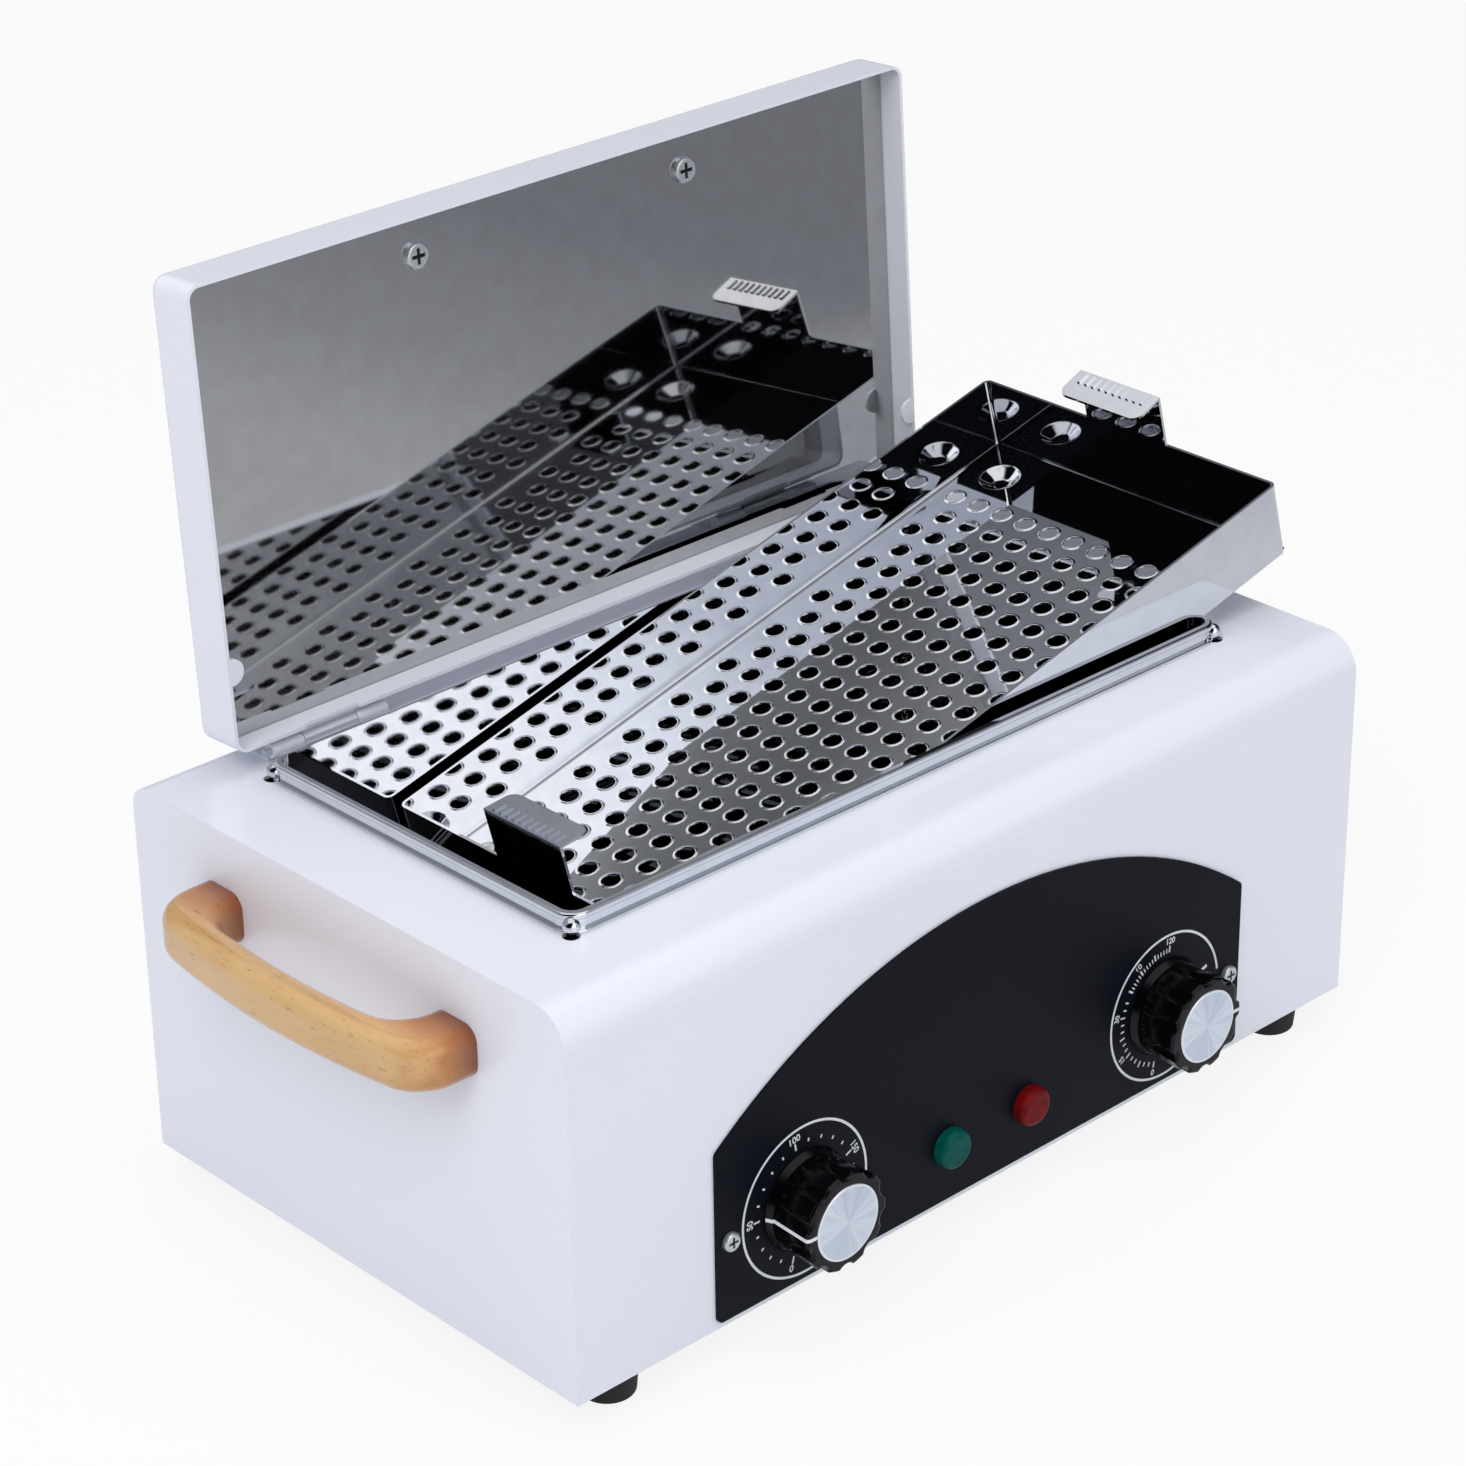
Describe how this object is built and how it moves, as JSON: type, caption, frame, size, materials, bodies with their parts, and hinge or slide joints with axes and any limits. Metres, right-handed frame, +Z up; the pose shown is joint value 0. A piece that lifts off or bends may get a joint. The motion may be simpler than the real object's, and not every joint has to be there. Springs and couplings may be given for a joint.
{
  "type": "dry heat sterilizer",
  "caption": "Bench-top dry heat sterilizer: a heated steel chamber under a hinged lid, with a lift-out perforated instrument tray.",
  "frame": {"origin": "middle of the whole outline, handles and knobs included, at the level that the feet stand on", "axes": "+X to the right along the long side seen from the front, +Y to the back, +Z up"},
  "size_m": [0.418, 0.2561, 0.3129],
  "materials": {
    "white_enamel": "smooth glossy white coat with a cool cast",
    "zinc_sheet": "plated sheet",
    "black_rubber": "matt black rubber",
    "steel_screw": "bright plated screws and pins",
    "mirror_stainless": "mirror-polished stainless sheet",
    "hinge_steel": "satin plated steel",
    "fibre_blanket": "white ceramic fibre blanket",
    "element_sheath": "dull heater sheath",
    "copper_tube": "bulb and capillary",
    "switch_case": "moulded switch case",
    "gland_plastic": "black nylon",
    "panel_black": "satin black front plate",
    "green_lens": "green lamp lens",
    "red_lens": "red lamp lens",
    "knob_black": "black moulded knob",
    "turned_aluminium": "finely turned face",
    "beech": "varnished beech"
  },
  "bodies": {
    "housing": {"housing_wrap": "white_enamel", "left_end_panel": "white_enamel", "right_end_panel": "white_enamel", "base_plate": "zinc_sheet", "feet": "black_rubber", "foot_screws": "steel_screw", "chamber_tank": "mirror_stainless", "tank_insulation": "fibre_blanket", "element_shield": "zinc_sheet", "heating_element": "element_sheath", "element_clips": "zinc_sheet", "shield_stands": "zinc_sheet", "thermostat": "switch_case", "thermostat_bulb": "copper_tube", "timer": "switch_case", "thermal_cutout": "zinc_sheet", "terminal_block": "switch_case", "cable_gland": "gland_plastic", "control_panel": "panel_black", "panel_screws": "steel_screw", "green_lamp": "green_lens", "red_lamp": "red_lens", "lamp_bodies": "switch_case", "left_handle": "beech", "right_handle": "beech", "handle_screws": "steel_screw", "left_hinge_leaf": "white_enamel", "right_hinge_leaf": "white_enamel", "hinge_screws": "steel_screw", "hinge_pins": "steel_screw"},
    "lid": {"lid_shell": "white_enamel", "lid_liner": "mirror_stainless", "lid_insulation": "fibre_blanket", "lid_handle": "white_enamel", "lid_handle_screws": "steel_screw", "left_lid_leaf": "hinge_steel", "right_lid_leaf": "hinge_steel"},
    "tray": {"tray_frame": "mirror_stainless", "tray_floor": "mirror_stainless"},
    "temperature_dial": {"temperature_knob": "knob_black", "temperature_knob_cap": "turned_aluminium", "temperature_shaft": "steel_screw"},
    "timer_dial": {"timer_knob": "knob_black", "timer_knob_cap": "turned_aluminium", "timer_shaft": "steel_screw"}
  },
  "joints": [
    {"name": "lid_hinge", "type": "hinge", "parent": "housing", "child": "lid", "pos_m": [0, 0.0802, 0.1511], "axis": [1, 0, 0], "range_deg": [0, 15]},
    {"name": "tray_lift", "type": "slide", "parent": "housing", "child": "tray", "axis": [0, 0, 1], "range_m": [0, 0.235]},
    {"name": "temperature_turn", "type": "hinge", "parent": "housing", "child": "temperature_dial", "pos_m": [-0.0847, -0.118, 0.0427], "axis": [0, 1, 0], "range_deg": [-77, 231]},
    {"name": "timer_turn", "type": "hinge", "parent": "housing", "child": "timer_dial", "pos_m": [0.0847, -0.118, 0.0427], "axis": [0, 1, 0], "range_deg": [-19, 274]}
  ]
}
